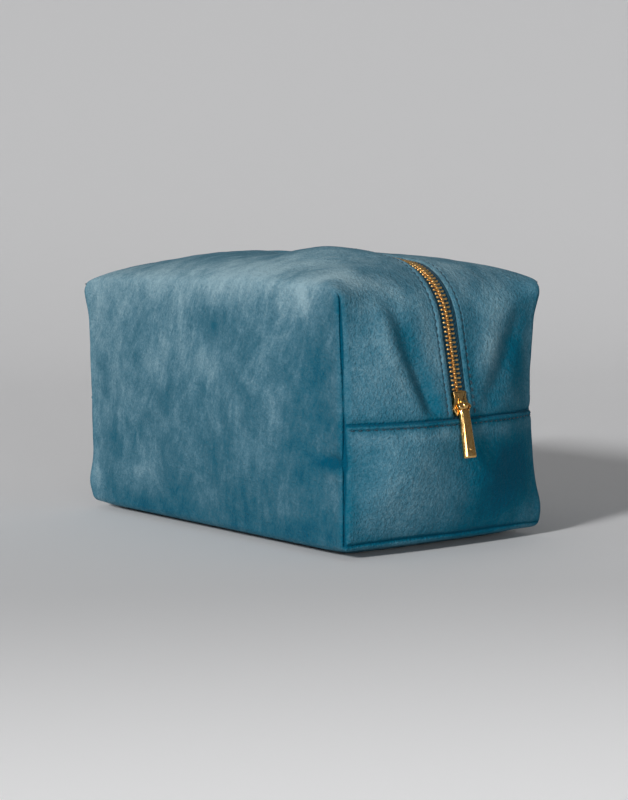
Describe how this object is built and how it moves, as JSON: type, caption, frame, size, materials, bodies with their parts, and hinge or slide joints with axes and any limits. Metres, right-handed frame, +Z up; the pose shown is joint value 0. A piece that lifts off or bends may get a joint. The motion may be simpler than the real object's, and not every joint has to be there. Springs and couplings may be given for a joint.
{
  "type": "zip-top wash bag",
  "caption": "Boxy soft wash bag in brushed faux suede, with foam-padded lined walls, a metal zip over the top and down both ends, and a slider with a swinging bar pull.",
  "frame": {"origin": "on the floor under the middle of the base panel", "axes": "+Z up, +X along the length towards the end where the closed zip's slider rests, -Y out of the front wall"},
  "size_m": [0.2875, 0.1346, 0.1485],
  "materials": {
    "faux_suede": "matte",
    "foam": "matte",
    "lining": "satin",
    "zip_tape": "matte",
    "gold_metal": "polished"
  },
  "bodies": {
    "bag": {"front_cover": "faux_suede", "back_cover": "faux_suede", "base_cover": "faux_suede", "near_end_cover": "faux_suede", "far_end_cover": "faux_suede", "near_front_corner_cover": "faux_suede", "near_back_corner_cover": "faux_suede", "far_front_corner_cover": "faux_suede", "far_back_corner_cover": "faux_suede", "front_foam": "foam", "back_foam": "foam", "base_foam": "foam", "near_end_foam": "foam", "far_end_foam": "foam", "near_front_corner_foam": "foam", "near_back_corner_foam": "foam", "far_front_corner_foam": "foam", "far_back_corner_foam": "foam", "front_lining": "lining", "back_lining": "lining", "base_lining": "lining", "near_end_lining": "lining", "far_end_lining": "lining", "near_front_corner_lining": "lining", "near_back_corner_lining": "lining", "far_front_corner_lining": "lining", "far_back_corner_lining": "lining", "near_front_tape": "zip_tape", "near_back_tape": "zip_tape", "far_front_tape": "zip_tape", "far_back_tape": "zip_tape", "near_front_teeth": "gold_metal", "near_back_teeth": "gold_metal", "far_front_teeth": "gold_metal", "far_back_teeth": "gold_metal", "closed_end_stops": "gold_metal", "far_end_stop": "gold_metal"},
    "front_flap": {"front_flap_cover": "faux_suede", "front_flap_foam": "foam", "front_flap_lining": "lining", "front_top_tape": "zip_tape", "front_top_teeth": "gold_metal"},
    "back_flap": {"back_flap_cover": "faux_suede", "back_flap_foam": "foam", "back_flap_lining": "lining", "back_top_tape": "zip_tape", "back_top_teeth": "gold_metal"},
    "slider": {"slider_body": "gold_metal", "slider_lug": "gold_metal"},
    "pull": {"pull_bar": "gold_metal"}
  },
  "joints": [
    {"name": "front_flap_fold", "type": "hinge", "parent": "bag", "child": "front_flap", "pos_m": [0, -0.058, 0.1383], "axis": [1, 0, 0], "range_deg": [0, 80]},
    {"name": "back_flap_fold", "type": "hinge", "parent": "bag", "child": "back_flap", "pos_m": [0, 0.058, 0.1383], "axis": [-1, 0, 0], "range_deg": [0, 80]},
    {"name": "slider_travel", "type": "slide", "parent": "bag", "child": "slider", "axis": [-0.1908, 0, 0.9816], "range_m": [0, 0.032], "deforming": ["near_front_teeth", "near_back_teeth"]},
    {"name": "pull_swing", "type": "hinge", "parent": "slider", "child": "pull", "pos_m": [0.1413, 0, 0.07267], "axis": [0, -1, 0], "range_deg": [0, 150]}
  ]
}
